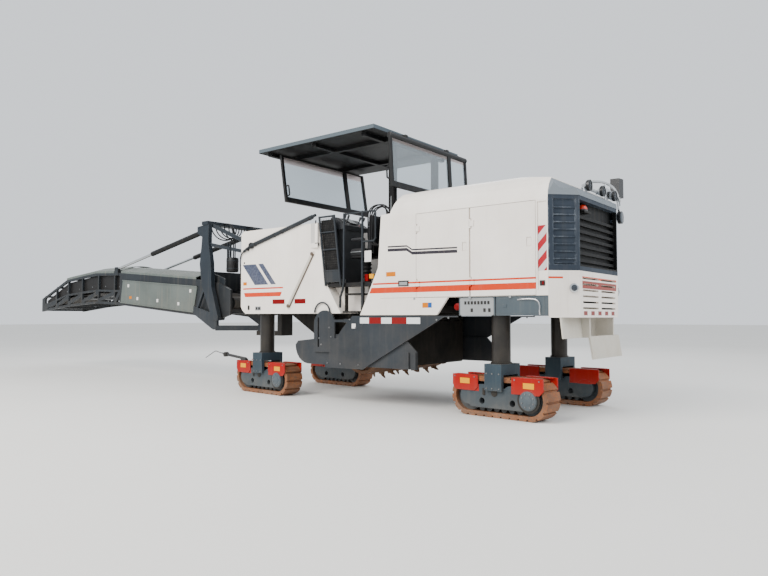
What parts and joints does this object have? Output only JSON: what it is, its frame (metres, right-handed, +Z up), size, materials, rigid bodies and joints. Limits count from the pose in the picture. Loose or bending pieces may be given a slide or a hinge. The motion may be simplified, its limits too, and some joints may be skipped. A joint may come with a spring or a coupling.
{
  "type": "cold planer milling machine",
  "caption": "Road milling machine on steerable lifting track legs, with milling drum, engine hood with doors, operator canopy and slewing discharge conveyor.",
  "frame": {"origin": "on the ground under the middle of the machine's bounding box", "axes": "+X towards the engine end, the discharge conveyor reaches to -X, +Y to the right-hand side, +Z up"},
  "size_m": [15.52, 2.528, 4.4],
  "materials": {
    "frame_steel": "satin paint, dusty",
    "black_steel": "satin black paint",
    "body_white": "gloss paint, warm off-white",
    "louvre_grey": "satin dark grey paint",
    "plate_grey": "light grey paint, dusty",
    "shoe_rust": "rusty orange-brown steel",
    "drum_rust": "worn and rusty steel",
    "pane": "clear pane, frosted strip at the top",
    "belt": "matt black rubber",
    "seat": "black cloth",
    "console": "textured dark plastic",
    "lamp": "bright bracket with clear lamps",
    "rod_bright": "polished piston rod",
    "cover_grey": "light grey paint"
  },
  "bodies": {
    "chassis": {"main_frame": "frame_steel", "drum_housing": "frame_steel", "side_plates": "frame_steel", "primary_conveyor": "black_steel", "front_body": "body_white", "hood": "body_white", "engine_block": "black_steel", "rear_grille": "louvre_grey", "rear_panel": "body_white", "rear_skirt": "plate_grey", "side_boxes": "frame_steel", "platform": "black_steel", "seats": "seat", "consoles": "console", "railings": "black_steel", "light_bar": "lamp", "leg_sleeves": "frame_steel", "outriggers": "frame_steel", "steps": "black_steel"},
    "door_left_front": {"door_left_front": "body_white"},
    "door_left_rear": {"door_left_rear": "body_white"},
    "door_right_front": {"door_right_front": "body_white"},
    "door_right_rear": {"door_right_rear": "body_white"},
    "canopy": {"canopy_roof": "black_steel", "canopy_panes": "pane"},
    "slew": {"slew_frame": "frame_steel"},
    "conveyor": {"conveyor_frame": "frame_steel", "conveyor_belt": "belt", "conveyor_covers": "cover_grey"},
    "lift_barrel_left": {"lift_barrel_left": "black_steel"},
    "lift_barrel_right": {"lift_barrel_right": "black_steel"},
    "lift_rod_left": {"lift_rod_left": "rod_bright"},
    "lift_rod_right": {"lift_rod_right": "rod_bright"},
    "drum": {"milling_drum": "drum_rust"},
    "edge_plate_left": {"edge_plate_left": "frame_steel"},
    "edge_plate_right": {"edge_plate_right": "frame_steel"},
    "scraper": {"scraper": "frame_steel"},
    "leg_front_left": {"leg_front_left": "frame_steel"},
    "track_unit_front_left": {"bogie_front_left": "frame_steel", "track_front_left": "shoe_rust"},
    "leg_front_right": {"leg_front_right": "frame_steel"},
    "track_unit_front_right": {"bogie_front_right": "frame_steel", "track_front_right": "shoe_rust"},
    "leg_rear_left": {"leg_rear_left": "frame_steel"},
    "track_unit_rear_left": {"bogie_rear_left": "frame_steel", "track_rear_left": "shoe_rust"},
    "leg_rear_right": {"leg_rear_right": "frame_steel"},
    "track_unit_rear_right": {"bogie_rear_right": "frame_steel", "track_rear_right": "shoe_rust"}
  },
  "joints": [
    {"name": "door_left_front_hinge", "type": "hinge", "parent": "chassis", "child": "door_left_front", "pos_m": [5.39, -1.25, 2.3], "axis": [0, 0, -1], "range_deg": [0, 110]},
    {"name": "door_left_rear_hinge", "type": "hinge", "parent": "chassis", "child": "door_left_rear", "pos_m": [6.31, -1.25, 2.3], "axis": [0, 0, -1], "range_deg": [0, 110]},
    {"name": "door_right_front_hinge", "type": "hinge", "parent": "chassis", "child": "door_right_front", "pos_m": [5.39, 1.25, 2.3], "axis": [0, 0, 1], "range_deg": [0, 110]},
    {"name": "door_right_rear_hinge", "type": "hinge", "parent": "chassis", "child": "door_right_rear", "pos_m": [6.31, 1.25, 2.3], "axis": [0, 0, 1], "range_deg": [0, 110]},
    {"name": "canopy_lift", "type": "slide", "parent": "chassis", "child": "canopy", "axis": [0, 0, 1], "range_m": [-0.4, 0]},
    {"name": "conveyor_slew", "type": "hinge", "parent": "chassis", "child": "slew", "pos_m": [0.75, 0, 1.1], "axis": [0, 0, 1], "range_deg": [-60, 60]},
    {"name": "conveyor_lift", "type": "hinge", "parent": "slew", "child": "conveyor", "pos_m": [0.02, 0, 1.35], "axis": [0, 1, 0], "range_deg": [-2, 20]},
    {"name": "barrel_left_pivot", "type": "hinge", "parent": "slew", "child": "lift_barrel_left", "pos_m": [-0.52, -0.575, 3.19], "axis": [0, 1, 0], "range_deg": [-3, 25]},
    {"name": "rod_left_slide", "type": "slide", "parent": "lift_barrel_left", "child": "lift_rod_left", "axis": [-0.9821, 0, -0.1884], "range_m": [-0.67, 0.075]},
    {"name": "barrel_right_pivot", "type": "hinge", "parent": "slew", "child": "lift_barrel_right", "pos_m": [-0.52, 0.575, 3.19], "axis": [0, 1, 0], "range_deg": [-3, 25]},
    {"name": "rod_right_slide", "type": "slide", "parent": "lift_barrel_right", "child": "lift_rod_right", "axis": [-0.9821, 0, -0.1884], "range_m": [-0.67, 0.075]},
    {"name": "leg_front_left_lift", "type": "slide", "parent": "chassis", "child": "leg_front_left", "axis": [0, 0, 1], "range_m": [0, 0.62]},
    {"name": "steer_front_left", "type": "hinge", "parent": "leg_front_left", "child": "track_unit_front_left", "pos_m": [1.88, -0.985, 0.7], "axis": [0, 0, 1], "range_deg": [-9, 21]},
    {"name": "leg_front_right_lift", "type": "slide", "parent": "chassis", "child": "leg_front_right", "axis": [0, 0, 1], "range_m": [0, 0.62]},
    {"name": "steer_front_right", "type": "hinge", "parent": "leg_front_right", "child": "track_unit_front_right", "pos_m": [1.88, 0.985, 0.7], "axis": [0, 0, 1], "range_deg": [-9, 21]},
    {"name": "leg_rear_left_lift", "type": "slide", "parent": "chassis", "child": "leg_rear_left", "axis": [0, 0, 1], "range_m": [0, 0.62]},
    {"name": "steer_rear_left", "type": "hinge", "parent": "leg_rear_left", "child": "track_unit_rear_left", "pos_m": [6.64, -0.985, 0.7], "axis": [0, 0, 1], "range_deg": [-9, 21]},
    {"name": "leg_rear_right_lift", "type": "slide", "parent": "chassis", "child": "leg_rear_right", "axis": [0, 0, 1], "range_m": [0, 0.62]},
    {"name": "steer_rear_right", "type": "hinge", "parent": "leg_rear_right", "child": "track_unit_rear_right", "pos_m": [6.64, 0.985, 0.7], "axis": [0, 0, 1], "range_deg": [-9, 21]},
    {"name": "drum_spin", "type": "hinge", "parent": "chassis", "child": "drum", "pos_m": [4.15, 0, 0.84], "axis": [0, 1, 0], "continuous": true},
    {"name": "edge_plate_left_lift", "type": "slide", "parent": "chassis", "child": "edge_plate_left", "axis": [0, 0, 1], "range_m": [-0.3, 0]},
    {"name": "edge_plate_right_lift", "type": "slide", "parent": "chassis", "child": "edge_plate_right", "axis": [0, 0, 1], "range_m": [-0.3, 0]},
    {"name": "scraper_hinge", "type": "hinge", "parent": "chassis", "child": "scraper", "pos_m": [4.81, 0, 1.34], "axis": [0, -1, 0], "range_deg": [0, 55]}
  ],
  "couplings": [
    {"joint": "barrel_left_pivot", "follows": "conveyor_lift", "ratio": 1.15},
    {"joint": "rod_left_slide", "follows": "conveyor_lift", "m_per_rad": -1.82},
    {"joint": "barrel_right_pivot", "follows": "conveyor_lift", "ratio": 1.15},
    {"joint": "rod_right_slide", "follows": "conveyor_lift", "m_per_rad": -1.82},
    {"joint": "steer_front_right", "follows": "steer_front_left", "ratio": 1},
    {"joint": "steer_rear_right", "follows": "steer_rear_left", "ratio": 1}
  ]
}
